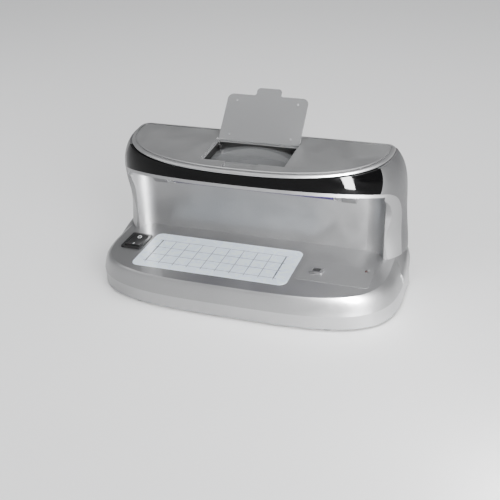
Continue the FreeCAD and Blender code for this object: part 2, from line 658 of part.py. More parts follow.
def buzzer():
    y0 = BOARD_Y + BOARD_THICK + 0.02
    return rod(5.0, (-20, y0, 49), Y_DIR, 6.0).cut(rod(0.9, (-20, y0 + 3, 49), Y_DIR, 6))


def power_board():
    board = box(POWER_X[0], POWER_X[1], POWER_Y[0], POWER_Y[1], POWER_Z, POWER_Z + 1.6)
    return cut(board, [post(1.3, x, y, 0, 12) for x, y in power_corners()])


def power_standoffs():
    sleeves = []
    for x, y in power_corners():
        sleeves.append(post(2.4, x, y, PAN_Z + WALL + 0.02, POWER_Z - 0.02).cut(post(1.15, x, y, 4.6, 9)))
    return Part.Compound(sleeves)


def power_screws():
    screw = flat_screw(1.1, 3.0, 2.1, 1.2)
    screw.rotate(V(0, 0, 0), X_DIR, 180)
    return Part.Compound([placed(screw, x, y, POWER_Z + 1.62) for x, y in power_corners()])


def mains_transformer():
    z0 = POWER_Z + 1.62
    core = box(69, 85, 7, 23, z0 + 2, z0 + 10.4).cut(box(72, 82, 4, 26, z0 + 4, z0 + 8.4))
    return fuse([core, box(72.1, 81.9, 5.5, 24.5, z0, z0 + 11.6)])


def inlet_socket():
    x, z = INLET
    w, h = INLET_SIZE
    y_wall = HOOD_LEVELS[0][4]
    flange = box(x - w / 2, x + w / 2, y_wall + 0.05, y_wall + 1.5, z - h / 2, z + h / 2)
    corners = [e for e in flange.Edges if e.BoundBox.YLength > 1]
    flange = flange.makeFillet(2.4, corners)
    body = box(x - w / 2 + 1.4, x + w / 2 - 1.4, 31.0, y_wall + 0.5, z - h / 2 + 1.4, z + h / 2 - 1.4)
    lobes = [rod(3.5, (x + s, 34.5, z), Y_DIR, 20) for s in (-3.9, 3.9)]
    lobes.append(box(x - 3.9, x + 3.9, 34.5, 55, z - 2.6, z + 2.6))
    return cut(fuse([flange, body]), lobes)


def inlet_pins():
    x, z = INLET
    return Part.Compound([rod(1.15, (x + s, 34.55, z), Y_DIR, 9.5) for s in (-4.3, 4.3)])


def mains_leads():
    x, z = INLET
    foot_z = POWER_Z + 3.0
    return Part.Compound([post(1.0, x + s, 33.2, foot_z, z - INLET_SIZE[1] / 2 + 1.3) for s in (-6.5, -2.5)])


def wire_loom():
    return Part.Compound([post(0.8, x, BOARD_Y + 0.8, 12.0, BOARD_Z[0] - 0.05) for x in (-8.0, -5.0, -2.0)])


# ---- feet and fasteners ----
def rubber_feet():
    return Part.Compound([post(5.4, x, y, 0, PAN_Z + 0.75) for x, y in FEET])


def base_screws():
    screw = flat_screw(SCREW_R, 13.0, HEAD_R, 1.5)
    return Part.Compound([placed(screw, x, y, PAN_Z + 1.95) for x, y in BASE_POSTS])


def rear_screws():
    screw = flat_screw(SCREW_R, 11.0, HEAD_R, 1.3)
    screw.rotate(V(0, 0, 0), X_DIR, 90)
    return Part.Compound([placed(screw, x, BACK_Y - 1.25, z) for x, z in REAR_BOSSES])


def top_screws():
    screws = []
    for x, y in TOP_POSTS:
        seat = roof_z(y) + 0.85
        screws.append(placed(flat_screw(SCREW_R, RIM_Z - 1.4 - seat, HEAD_R, 1.3), x, y, seat))
    return Part.Compound(screws)


def main():
    os.makedirs("parts", exist_ok=True)
    outer = hood()
    inner = hood(WALL)
    export("base_pan", base_pan())
    export("front_housing", front_housing(outer, inner))
    export("rear_cover", rear_cover(outer, inner))
    export("fascia_band", fascia_band(outer))
    pieces = (
        top_cover, lens, lens_clamp, clamp_screws, magnifier_lid, lid_pips, light_plate, light_box,
        backlight_board, backlight_leds, switch_body, switch_rocker, switch_terminals, sensor_frame,
        sensor_core, sensor_coil, indicator_led, sensor_label, uv_tube, tube_caps, lamp_holders,
        lamp_reflector, control_board, board_standoffs, board_screws, lamp_inverter, capacitors,
        control_chips, buzzer, power_board, power_standoffs, power_screws, mains_transformer,
        inlet_socket, inlet_pins, mains_leads, wire_loom, rubber_feet, base_screws, rear_screws,
        top_screws,
    )
    for piece in pieces:
        export(piece.__name__, piece())


main()
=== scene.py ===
import json
import math

import bmesh
import bpy
from bpy.props import FloatProperty, FloatVectorProperty, IntProperty, PointerProperty
from mathutils import Matrix, Vector


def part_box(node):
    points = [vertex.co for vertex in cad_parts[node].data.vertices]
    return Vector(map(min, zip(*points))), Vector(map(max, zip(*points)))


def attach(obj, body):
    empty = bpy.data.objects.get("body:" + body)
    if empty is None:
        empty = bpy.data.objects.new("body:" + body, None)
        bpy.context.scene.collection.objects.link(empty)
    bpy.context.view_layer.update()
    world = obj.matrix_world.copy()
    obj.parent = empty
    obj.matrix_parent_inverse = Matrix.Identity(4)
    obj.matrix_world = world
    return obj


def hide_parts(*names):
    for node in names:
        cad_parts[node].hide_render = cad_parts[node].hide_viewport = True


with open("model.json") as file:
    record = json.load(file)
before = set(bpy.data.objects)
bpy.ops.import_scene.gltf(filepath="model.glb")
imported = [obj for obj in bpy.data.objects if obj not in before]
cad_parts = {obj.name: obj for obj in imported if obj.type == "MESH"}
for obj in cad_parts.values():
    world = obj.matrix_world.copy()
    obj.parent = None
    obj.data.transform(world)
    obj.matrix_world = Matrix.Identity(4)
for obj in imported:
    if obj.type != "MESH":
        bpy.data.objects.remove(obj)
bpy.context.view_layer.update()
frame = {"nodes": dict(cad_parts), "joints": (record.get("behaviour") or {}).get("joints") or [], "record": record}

bl_info = {
    "name": "Banknote detector",
    "version": (1, 0, 0),
    "blender": (4, 5, 0),
    "location": "View3D > Sidebar > Detector",
    "description": "Builds the visible pieces and finishes of a banknote detector round its CAD frame",
    "category": "Object",
}

MM = 0.001
HINGE = Vector(next(j for j in frame["joints"] if j["name"] == "lid_hinge")["pos_m"])
PIVOT = Vector(next(j for j in frame["joints"] if j["name"] == "switch_rock")["pos_m"])

# The top cover lies along a plane that rises to the rear, through this point
TOP_SLOPE = 0.060
TOP_POINT = Vector((0.0, -21.637, 91.2)) * MM


# ---- sizes and colours that a user may change ----
def length(name, description, default, low=0.0):
    return FloatProperty(name=name, description=description, default=default * MM, min=low,
                         unit="LENGTH", precision=5)


def colour(name, description, default):
    return FloatVectorProperty(name=name, description=description, default=default, size=3,
                               min=0.0, max=1.0, subtype="COLOR")


class CasingFinishes(bpy.types.PropertyGroup):
    silver: colour("Silver lacquer", "Base coat of the front housing", (0.225, 0.226, 0.229))
    # Painted reflection: the base pan's silver is set lighter than the housing's, so its tone holds both the pan's
    # own colour and the sheen of its lower band
    pan_silver_with_reflection: colour("Pan silver with painted reflection", "Moulded colour of the base pan", (0.29, 0.291, 0.295))
    top_silver: colour("Top silver", "Base coat of the top cover", (0.31, 0.311, 0.315))
    dark: colour("Dark shell", "Moulded colour of the rear cover", (0.075, 0.0755, 0.078))
    black: colour("Black band", "Polished black of the fascia band", (0.002, 0.002, 0.0022))
    flake: length("Flake size", "Size of the metal flakes in the lacquer", 0.35)


class PlateSizes(bpy.types.PropertyGroup):
    pitch: length("Ruling pitch", "Side of one square of the ruling", 10.0)
    margin_x: length("Left margin", "From the plate's left edge to the ruling", 8.1)
    margin_y: length("Front margin", "From the plate's front edge to the ruling", 7.3)
    tick: length("Tick", "Length of the ticks outside the ruling", 1.9)
    line: length("Line width", "Width of a thin ruled line", 0.50)
    columns: IntProperty(name="Columns", description="Squares along the plate", default=9, min=1)
    rows: IntProperty(name="Rows", description="Squares across the plate", default=3, min=1)
    glow: FloatProperty(name="Glow", description="Strength of the light that comes through the plate",
                        default=0.75, min=0.0)
    corner: length("Corner radius", "Radius of the plate's corners", 5.0)
    edge: length("Edge radius", "Rounding of the plate's upper edge", 0.45)
    milk: colour("Milky acrylic", "Body colour of the plate", (0.50, 0.565, 0.625))
    ink: colour("Ruling ink", "Colour of the printed lines", (0.02, 0.026, 0.045))


class LidSizes(bpy.types.PropertyGroup):
    half: length("Half width", "Half of the lid's width", 28.4)
    reach: length("Reach", "From the hinge to the lid's outer edge", 34.0)
    tab_half: length("Tab half width", "Half of the finger tab's width", 8.7)
    tab_reach: length("Tab reach", "How far the finger tab stands out", 5.6)
    thick: length("Thickness", "Thickness of the lid", 1.2)
    pin: length("Pin radius", "Radius of the hinge pins", 0.6)
    corner: length("Corner radius", "Radius of the two outer corners", 4.0)
    tab_corner: length("Tab radius", "Radius of the finger tab's corners", 2.4)
    edge: length("Edge radius", "Rounding along the lid's edges", 0.22)
    grey: colour("Lid grey", "Colour of the lid", (0.165, 0.167, 0.17))


class SwitchSizes(bpy.types.PropertyGroup):
    half: length("Half width", "Half of the rocker's width", 5.5)
    reach: length("Half length", "Half of the rocker's length", 7.5)
    edge: length("Edge radius", "Rounding of the rocker's upper edge", 0.35)
    black: colour("Switch black", "Colour of the bezel and rocker", (0.005, 0.005, 0.0055))
    mark: colour("Mark white", "Colour of the on and off marks", (0.75, 0.76, 0.78))


class StageSizes(bpy.types.PropertyGroup):
    eye: FloatVectorProperty(name="Camera place", description="Where the camera stands",
                             default=(0.1743, -0.48736, 0.3009), size=3, subtype="TRANSLATION", unit="LENGTH")
    aim: FloatVectorProperty(name="Camera aim", description="Direction that the camera looks in",
                             default=(-0.29785, 0.83114, -0.46956), size=3, subtype="DIRECTION")
    roll: FloatProperty(name="Camera roll", description="Turn about the line of sight",
                        default=math.radians(-1.973), subtype="ANGLE")
    focal: FloatProperty(name="Focal length", description="Focal length in millimetres", default=61.93, min=1.0)
    floor: colour("Floor", "Colour of the floor", (0.93, 0.93, 0.93))


# ---- small mesh tools ----
def upright(edge):
    a, b = (v.co for v in edge.verts)
    return abs(a.z - b.z) > 0.9 * (a - b).length


def rim_edges(bm, z, tolerance=1e-6):
    """Edges at height z that bound a level face."""
    found = []
    for edge in bm.edges:
        if all(abs(v.co.z - z) < tolerance for v in edge.verts):
            level = [abs(f.normal.z) > 0.9 for f in edge.link_faces]
            if any(level) and not all(level):
                found.append(edge)
    return found


def round_edges(bm, edges, radius, segments):
    bmesh.ops.bevel(bm, geom=edges, offset=radius, offset_type="OFFSET", segments=segments, profile=0.5,
                    affect="EDGES", clamp_overlap=True, material=-1)
    bm.normal_update()


def slab(low, high, corner=0.0, edge=0.0, under=0.0, corner_steps=8, edge_steps=3):
    """Block between two corners with round upright edges and softened rims."""
    bm = bmesh.new()
    size = Vector(high) - Vector(low)
    middle = (Vector(high) + Vector(low)) / 2
    bmesh.ops.create_cube(bm, size=1.0, matrix=Matrix.Translation(middle) @ Matrix.Diagonal((*size, 1.0)))
    bm.normal_update()
    if corner:
        round_edges(bm, [e for e in bm.edges if upright(e)], corner, corner_steps)
    if edge:
        round_edges(bm, rim_edges(bm, high[2]), edge, edge_steps)
    if under:
        round_edges(bm, rim_edges(bm, low[2]), under, edge_steps)
    return bm


def turned(profile, steps=40):
    """Solid of revolution about Z from (radius, height) points."""
    bm = bmesh.new()
    points = [bm.verts.new((r, 0.0, h)) for r, h in profile]
    lines = [bm.edges.new(pair) for pair in zip(points, points[1:])]
    bmesh.ops.spin(bm, geom=points + lines, axis=(0, 0, 1), cent=(0, 0, 0), angle=math.tau, steps=steps,
                   use_merge=True, use_duplicate=False)
    bmesh.ops.remove_doubles(bm, verts=bm.verts, dist=1e-7)
    bmesh.ops.recalc_face_normals(bm, faces=bm.faces)
    return bm


def placed(bm, matrix):
    bmesh.ops.transform(bm, matrix=matrix, verts=bm.verts)
    return bm


def gather(parts):
    """Several meshes as one."""
    whole = bmesh.new()
    for part in parts:
        loose = bpy.data.meshes.new("loose")
        part.to_mesh(loose)
        part.free()
        whole.from_mesh(loose)
        bpy.data.meshes.remove(loose)
    return whole


def along(start, direction):
    """Matrix that carries +Z onto a direction, starting at a point."""
    return Matrix.Translation(start) @ Vector(direction).to_track_quat("Z", "Y").to_matrix().to_4x4()


def piece(name, bm, material, body, nodes=(), crease=32.0):
    """Make the finished object, let it ride on its body and stand for its CAD nodes."""
    bmesh.ops.recalc_face_normals(bm, faces=bm.faces)
    mesh = bpy.data.meshes.new(name)
    bm.to_mesh(mesh)
    bm.free()
    mesh.materials.append(material)
    mesh.shade_smooth()
    mesh.set_sharp_from_angle(angle=math.radians(crease))
    made = bpy.data.objects.new(name, mesh)
    bpy.context.scene.collection.objects.link(made)
    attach(made, body)
    if nodes:
        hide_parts(*nodes)
    return made


def dress(node_name, material):
    """Give a CAD node its finish."""
    node = frame["nodes"][node_name]
    if not node.material_slots:
        node.data.materials.append(material)
    for place in node.material_slots:
        place.material = material


# ---- shader node tools ----
def add_node(tree, kind, settings=None, **sockets):
    """Add a node, set its properties and its unlinked sockets, and link the others."""
    made = tree.nodes.new(kind)
    for key, value in (settings or {}).items():
        setattr(made, key, value)
    for key, value in sockets.items():
        socket = made.inputs[int(key[1:])] if key[0] == "i" and key[1:].isdigit() else made.inputs[
            key.replace("_", " ")]
        if isinstance(value, bpy.types.NodeSocket):
            tree.links.new(value, socket)
        else:
            socket.default_value = value
    return made


def maths(tree, operation, *values):
    sockets = {"i%d" % i: v for i, v in enumerate(values)}
    return add_node(tree, "ShaderNodeMath", {"operation": operation}, **sockets).outputs[0]


def blend_colours(tree, mask, first, second):
    mix = tree.nodes.new("ShaderNodeMix")
    mix.data_type = "RGBA"
    for socket, value in ((mix.inputs[0], mask), (mix.inputs[6], first), (mix.inputs[7], second)):
        if isinstance(value, bpy.types.NodeSocket):
            tree.links.new(value, socket)
        else:
            socket.default_value = value
    return mix.outputs[2]


def remap(tree, value, from_low, from_high, to_low, to_high):
    made = add_node(tree, "ShaderNodeMapRange", {"clamp": True}, Value=value, From_Min=from_low,
                    From_Max=from_high, To_Min=to_low, To_Max=to_high)
    return made.outputs[0]


def new_group(name, inputs, outputs):
    group = bpy.data.node_groups.new(name, "ShaderNodeTree")
    for label, kind, default in inputs:
        socket = group.interface.new_socket(name=label, in_out="INPUT", socket_type=kind)
        if default is not None:
            socket.default_value = default
    for label, kind in outputs:
        group.interface.new_socket(name=label, in_out="OUTPUT", socket_type=kind)
    return group, group.nodes.new("NodeGroupInput"), group.nodes.new("NodeGroupOutput")


def moulded_grain():
    """Fine spark-eroded grain of moulded plastic, with faint handling marks."""
    group, given, out = new_group(
        "Moulded grain",
        [("Place", "NodeSocketVector", None), ("Grain size", "NodeSocketFloat", 0.0005),
         ("Base", "NodeSocketColor", (0.5, 0.5, 0.5, 1.0)), ("Roughness", "NodeSocketFloat", 0.5),
         ("Variation", "NodeSocketFloat", 0.06)],
        [("Colour", "NodeSocketColor"), ("Roughness", "NodeSocketFloat"), ("Height", "NodeSocketFloat")])
    fine = maths(group, "DIVIDE", 1.0, given.outputs["Grain size"])
    grain = add_node(group, "ShaderNodeTexNoise", {"noise_dimensions": "3D"}, Vector=given.outputs["Place"],
                     Scale=fine, Detail=2.0, Roughness=0.6).outputs["Fac"]
    cloud = add_node(group, "ShaderNodeTexNoise", Vector=given.outputs["Place"], Scale=28.0, Detail=4.0,
                     Roughness=0.55).outputs["Fac"]
    smear = add_node(group, "ShaderNodeTexNoise", Vector=given.outputs["Place"], Scale=90.0, Detail=3.0,
                     Roughness=0.7, Distortion=1.2).outputs["Fac"]
    spread = maths(group, "MULTIPLY", maths(group, "SUBTRACT", cloud, 0.5), given.outputs["Variation"])
    speck = maths(group, "MULTIPLY", maths(group, "SUBTRACT", grain, 0.5), given.outputs["Variation"])
    shade = maths(group, "ADD", 1.0, maths(group, "ADD", spread, speck))
    tint = add_node(group, "ShaderNodeCombineColor", Red=shade, Green=shade, Blue=shade).outputs[0]
    multiply = group.nodes.new("ShaderNodeMix")
    multiply.data_type = "RGBA"
    multiply.blend_type = "MULTIPLY"
    multiply.inputs[0].default_value = 1.0
    group.links.new(given.outputs["Base"], multiply.inputs[6])
    group.links.new(tint, multiply.inputs[7])
    rough = maths(group, "ADD", given.outputs["Roughness"], remap(group, smear, 0.4, 0.75, -0.02, 0.07))
    group.links.new(multiply.outputs[2], out.inputs["Colour"])
    group.links.new(rough, out.inputs["Roughness"])
    group.links.new(grain, out.inputs["Height"])
    return group


def lacquer_flakes():
    """Metal flakes laid in a silver lacquer."""
    group, given, out = new_group(
        "Lacquer flakes",
        [("Place", "NodeSocketVector", None), ("Flake size", "NodeSocketFloat", 0.0004),
         ("Base", "NodeSocketColor", (0.5, 0.5, 0.5, 1.0)), ("Sparkle", "NodeSocketFloat", 0.12)],
        [("Colour", "NodeSocketColor"), ("Metal", "NodeSocketFloat"), ("Height", "NodeSocketFloat")])
    fine = maths(group, "DIVIDE", 1.0, given.outputs["Flake size"])
    place = given.outputs["Place"]
    cells = add_node(group, "ShaderNodeTexVoronoi", {"feature": "F1"}, Vector=place, Scale=fine)
    lit = add_node(group, "ShaderNodeSeparateColor", Color=cells.outputs["Color"]).outputs[0]
    cloud = add_node(group, "ShaderNodeTexNoise", Vector=place, Scale=18.0, Detail=3.0).outputs["Fac"]
    sparkle = maths(group, "MULTIPLY", maths(group, "SUBTRACT", lit, 0.5), given.outputs["Sparkle"])
    drift = maths(group, "MULTIPLY", maths(group, "SUBTRACT", cloud, 0.5), 0.05)
    shade = maths(group, "ADD", 1.0, maths(group, "ADD", sparkle, drift))
    tint = add_node(group, "ShaderNodeCombineColor", Red=shade, Green=shade, Blue=shade).outputs[0]
    multiply = group.nodes.new("ShaderNodeMix")
    multiply.data_type = "RGBA"
    multiply.blend_type = "MULTIPLY"
    multiply.inputs[0].default_value = 1.0
    group.links.new(given.outputs["Base"], multiply.inputs[6])
    group.links.new(tint, multiply.inputs[7])
    group.links.new(multiply.outputs[2], out.inputs["Colour"])
    group.links.new(remap(group, lit, 0.0, 1.0, 0.72, 0.92), out.inputs["Metal"])
    peel = add_node(group, "ShaderNodeTexNoise", Vector=place, Scale=700.0, Detail=1.0).outputs["Fac"]
    group.links.new(peel, out.inputs["Height"])
    return group


def drawn_lines():
    """Fine lines of drawn or brushed metal along X."""
    group, given, out = new_group(
        "Drawn lines",
        [("Place", "NodeSocketVector", None), ("Density", "NodeSocketFloat", 3000.0),
         ("Base", "NodeSocketColor", (0.6, 0.6, 0.6, 1.0)), ("Roughness", "NodeSocketFloat", 0.3)],
        [("Colour", "NodeSocketColor"), ("Roughness", "NodeSocketFloat"), ("Height", "NodeSocketFloat")])
    place = given.outputs["Place"]
    stretched = add_node(group, "ShaderNodeVectorMath", {"operation": "MULTIPLY"}, i0=place,
                         i1=(0.04, 1.0, 1.0)).outputs[0]
    lines = add_node(group, "ShaderNodeTexNoise", Vector=stretched, Scale=given.outputs["Density"],
                     Detail=2.0).outputs["Fac"]
    spots = add_node(group, "ShaderNodeTexNoise", Vector=place, Scale=150.0, Detail=3.0).outputs["Fac"]
    shade = remap(group, lines, 0.3, 0.7, 0.86, 1.06)
    tint = add_node(group, "ShaderNodeCombineColor", Red=shade, Green=shade, Blue=shade).outputs[0]
    multiply = group.nodes.new("ShaderNodeMix")
    multiply.data_type = "RGBA"
    multiply.blend_type = "MULTIPLY"
    multiply.inputs[0].default_value = 1.0
    group.links.new(given.outputs["Base"], multiply.inputs[6])
    group.links.new(tint, multiply.inputs[7])
    group.links.new(multiply.outputs[2], out.inputs["Colour"])
    rough = maths(group, "ADD", given.outputs["Roughness"], remap(group, spots, 0.35, 0.7, -0.04, 0.12))
    group.links.new(rough, out.inputs["Roughness"])
    group.links.new(lines, out.inputs["Height"])
    return group


GROUPS = {}


def effect(maker):
    if maker not in GROUPS:
        GROUPS[maker] = maker()
    return GROUPS[maker]


def start_material(name):
    material = bpy.data.materials.new(name)
    material.use_nodes = True
    tree = material.node_tree
    shader = tree.nodes["Principled BSDF"]
    place = tree.nodes.new("ShaderNodeTexCoord").outputs["Object"]
    return material, tree, shader, place


def use_effect(tree, maker, **values):
    made = tree.nodes.new("ShaderNodeGroup")
    made.node_tree = effect(maker)
    for key, value in values.items():
        socket = made.inputs[key.replace("_", " ")]
        if isinstance(value, bpy.types.NodeSocket):
            tree.links.new(value, socket)
        else:
            socket.default_value = value
    return made


def bump(tree, shader, height, strength, distance):
    made = add_node(tree, "ShaderNodeBump", Height=height, Strength=strength, Distance=distance)
    tree.links.new(made.outputs[0], shader.inputs["Normal"])


def plastic(name, base, rough, grain=0.5, depth=0.03, variation=0.06, coat=0.0, specular=0.5):
    material, tree, shader, place = start_material(name)
    made = use_effect(tree, moulded_grain, Place=place, Grain_size=grain * MM, Base=(*base, 1.0),
                      Roughness=rough, Variation=variation)
    tree.links.new(made.outputs["Colour"], shader.inputs["Base Color"])
    tree.links.new(made.outputs["Roughness"], shader.inputs["Roughness"])
    bump(tree, shader, made.outputs["Height"], 0.5, depth * MM)
    shader.inputs["Coat Weight"].default_value = coat
    shader.inputs["Coat Roughness"].default_value = 0.08
    shader.inputs["Specular IOR Level"].default_value = specular
    return material


def lacquer(name, base, rough, flake, sparkle=0.10, coat=0.25):
    material, tree, shader, place = start_material(name)
    made = use_effect(tree, lacquer_flakes, Place=place, Flake_size=flake, Base=(*base, 1.0), Sparkle=sparkle)
    tree.links.new(made.outputs["Colour"], shader.inputs["Base Color"])
    tree.links.new(made.outputs["Metal"], shader.inputs["Metallic"])
    wiped = add_node(tree, "ShaderNodeTexNoise", Vector=place, Scale=45.0, Detail=4.0,
                     Distortion=0.8).outputs["Fac"]
    tree.links.new(remap(tree, wiped, 0.35, 0.7, rough - 0.02, rough + 0.05), shader.inputs["Roughness"])
    bump(tree, shader, made.outputs["Height"], 0.35, 0.02 * MM)
    shader.inputs["Coat Weight"].default_value = coat
    shader.inputs["Coat Roughness"].default_value = 0.22
    return material


def metal(name, base, rough, density=3000.0):
    material, tree, shader, place = start_material(name)
    made = use_effect(tree, drawn_lines, Place=place, Density=density, Base=(*base, 1.0), Roughness=rough)
    tree.links.new(made.outputs["Colour"], shader.inputs["Base Color"])
    tree.links.new(made.outputs["Roughness"], shader.inputs["Roughness"])
    bump(tree, shader, made.outputs["Height"], 0.3, 0.01 * MM)
    shader.inputs["Metallic"].default_value = 1.0
    return material


def clear(name, base, rough, ior=1.49, transmission=1.0):
    """Clear moulded part with faint wiping marks."""
    material, tree, shader, place = start_material(name)
    marks = add_node(tree, "ShaderNodeTexNoise", Vector=place, Scale=120.0, Detail=4.0,
                     Distortion=1.5).outputs["Fac"]
    tree.links.new(remap(tree, marks, 0.45, 0.8, rough, rough + 0.08), shader.inputs["Roughness"])
    shader.inputs["Base Color"].default_value = (*base, 1.0)
    shader.inputs["IOR"].default_value = ior
    shader.inputs["Transmission Weight"].default_value = transmission
    return material


def ruled_plate(sizes, low):
    """Milky acrylic with a printed ruling, thicker at its two ends, and short ticks outside it."""
    material, tree, shader, place = start_material("Milky ruled acrylic")
    grid_low = (low.x + sizes.margin_x, low.y + sizes.margin_y)
    width = sizes.columns * sizes.pitch
    depth = sizes.rows * sizes.pitch
    split = add_node(tree, "ShaderNodeSeparateXYZ", Vector=place)
    x = maths(tree, "SUBTRACT", split.outputs["X"], grid_low[0])
    y = maths(tree, "SUBTRACT", split.outputs["Y"], grid_low[1])

    def near_line(value, half):
        cell = maths(tree, "DIVIDE", value, sizes.pitch)
        gap = maths(tree, "ABSOLUTE", maths(tree, "SUBTRACT", cell, maths(tree, "ROUND", cell)))
        return remap(tree, maths(tree, "MULTIPLY", gap, sizes.pitch), half * 0.7, half * 1.3, 1.0, 0.0)

    def inside(value, first, last):
        return maths(tree, "MULTIPLY", maths(tree, "GREATER_THAN", value, first),
                     maths(tree, "LESS_THAN", value, last))

    half = sizes.line / 2
    within_x = inside(x, -half, width + half)
    within_y = inside(y, -half, depth + half)
    upright_lines = maths(tree, "MULTIPLY", near_line(x, half), inside(y, -sizes.tick, depth + half))
    upright_lines = maths(tree, "MULTIPLY", upright_lines, within_x)
    level_lines = maths(tree, "MULTIPLY", near_line(y, half), inside(x, -sizes.tick, width + sizes.tick))
    level_lines = maths(tree, "MULTIPLY", level_lines, within_y)
    end_gap = maths(tree, "MINIMUM", maths(tree, "ABSOLUTE", x),
                    maths(tree, "ABSOLUTE", maths(tree, "SUBTRACT", x, width)))
    heavy = maths(tree, "MULTIPLY", remap(tree, end_gap, half * 1.5, half * 2.2, 1.0, 0.0), within_y)
    thin = maths(tree, "MULTIPLY", maths(tree, "MAXIMUM", upright_lines, level_lines), 0.88)
    printed = maths(tree, "MAXIMUM", thin, heavy)
    wear = add_node(tree, "ShaderNodeTexNoise", Vector=place, Scale=400.0, Detail=3.0).outputs["Fac"]
    printed = maths(tree, "MULTIPLY", printed, remap(tree, wear, 0.3, 0.6, 0.75, 1.0))
    cloud = add_node(tree, "ShaderNodeTexNoise", Vector=place, Scale=22.0, Detail=3.0).outputs["Fac"]
    dim = tuple(c * 0.96 for c in sizes.milk)
    milk = blend_colours(tree, remap(tree, cloud, 0.3, 0.7, 0.0, 1.0), (*dim, 1.0), (*sizes.milk, 1.0))
    colour = blend_colours(tree, printed, milk, (*sizes.ink, 1.0))
    tree.links.new(colour, shader.inputs["Base Color"])
    tree.links.new(colour, shader.inputs["Emission Color"])
    shader.inputs["Emission Strength"].default_value = sizes.glow
    rub = add_node(tree, "ShaderNodeTexNoise", Vector=place, Scale=160.0, Detail=4.0,
                   Distortion=1.0).outputs["Fac"]
    tree.links.new(remap(tree, rub, 0.4, 0.75, 0.24, 0.36), shader.inputs["Roughness"])
    bump(tree, shader, printed, 0.4, 0.02 * MM)
    shader.inputs["Subsurface Weight"].default_value = 0.25
    shader.inputs["Subsurface Radius"].default_value = (0.002, 0.002, 0.0022)
    shader.inputs["Coat Weight"].default_value = 0.2
    return material


def paint_shade_below(material, point, slope, level):
    """Painted shade: matt black on every part of a piece that lies under a sloping plane, darkening the walls of
    the magnifier well and the lower edge of the rim.
    """
    tree = material.node_tree
    shader = tree.nodes["Principled BSDF"]
    place = add_node(tree, "ShaderNodeTexCoord").outputs["Object"]
    split = add_node(tree, "ShaderNodeSeparateXYZ", Vector=place)
    run = maths(tree, "MULTIPLY", maths(tree, "SUBTRACT", split.outputs["Y"], point.y), slope)
    height = maths(tree, "SUBTRACT", maths(tree, "SUBTRACT", split.outputs["Z"], point.z), run)
    # Mask of the painted shade: 1 under the level, 0 above it
    shade_mask = remap(tree, height, level - 0.05 * MM, level + 0.05 * MM, 1.0, 0.0)
    for name, black in (("Base Color", (0.006, 0.006, 0.006, 1.0)), ("Metallic", (0.0, 0.0, 0.0, 1.0))):
        bare = shader.inputs[name].links[0].from_socket
        tree.links.new(blend_colours(tree, shade_mask, bare, black), shader.inputs[name])
    tree.links.new(remap(tree, shade_mask, 0.0, 1.0, 0.3, 0.0), shader.inputs["Coat Weight"])


def circuit_board():
    """Green solder mask with tracks and tinned pads."""
    material, tree, shader, place = start_material("Circuit board")
    cells = add_node(tree, "ShaderNodeTexBrick", {"offset": 0.37}, Vector=add_node(
        tree, "ShaderNodeVectorRotate", {"rotation_type": "AXIS_ANGLE"}, Vector=place, Axis=(1, 0, 0),
        Angle=math.radians(45)).outputs[0], Scale=160.0, Mortar_Size=0.05, Mortar_Smooth=0.2,
        Color1=(0.012, 0.11, 0.045, 1), Color2=(0.015, 0.13, 0.05, 1), Mortar=(0.03, 0.2, 0.08, 1))
    pads = add_node(tree, "ShaderNodeTexVoronoi", {"feature": "F1"}, Vector=place, Scale=330.0)
    tinned = remap(tree, pads.outputs["Distance"], 0.10, 0.13, 1.0, 0.0)
    tree.links.new(blend_colours(tree, tinned, cells.outputs["Color"], (0.6, 0.6, 0.58, 1)),
                   shader.inputs["Base Color"])
    tree.links.new(tinned, shader.inputs["Metallic"])
    tree.links.new(remap(tree, tinned, 0.0, 1.0, 0.38, 0.25), shader.inputs["Roughness"])
    bump(tree, shader, tinned, 0.4, 0.05 * MM)
    return material


# ---- operators: one for each piece or group of like pieces ----
def settings(context):
    return context.scene.detector


class DETECTOR_OT_casings(bpy.types.Operator):
    """Lacquer the front housing, the base pan, the rear cover, the black band and the top cover"""
    bl_idname = "detector.casings"
    bl_label = "Casings"

    def execute(self, context):
        finish = settings(context).casings
        dress("front_housing", lacquer("Silver lacquer", finish.silver, 0.36, finish.flake))
        # The pan's lighter silver is partly painted reflection
        dress("base_pan", lacquer("Pan silver with painted reflection", finish.pan_silver_with_reflection, 0.42, finish.flake, sparkle=0.06, coat=0.1))
        top = lacquer("Top silver", finish.top_silver, 0.34, finish.flake, sparkle=0.08, coat=0.3)
        # Painted shade: the top cover turns matt black under its sloping plane, in the magnifier well and along
        # the rim's lower edge
        paint_shade_below(top, TOP_POINT, TOP_SLOPE, 0.35 * MM)
        dress("top_cover", top)
        dress("rear_cover", plastic("Dark shell", finish.dark, 0.42, grain=0.6, depth=0.02, coat=0.12))
        band = plastic("Black gloss", finish.black, 0.05, grain=3.0, depth=0.002, variation=0.2, specular=0.09)
        dress("fascia_band", band)
        return {"FINISHED"}


class DETECTOR_OT_plate(bpy.types.Operator):
    """Milky plate with its ruling and the light box under it"""
    bl_idname = "detector.plate"
    bl_label = "Measuring plate"

    def execute(self, context):
        sizes = settings(context).plate
        low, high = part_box("light_plate")
        body = slab(low, high, corner=sizes.corner, edge=sizes.edge, under=0.2 * MM, corner_steps=12,
                    edge_steps=4)
        milk = ruled_plate(sizes, low)
        piece("measuring_plate", body, milk, "housing", nodes=("light_plate",),
              crease=10)
        dress("light_box", plastic("White tray", (0.80, 0.80, 0.78), 0.45, grain=0.8))
        dress("backlight_board", circuit_board())
        lamps = plastic("Backlight packages", (0.80, 0.74, 0.42), 0.3, grain=0.4)
        dress("backlight_leds", lamps)
        return {"FINISHED"}


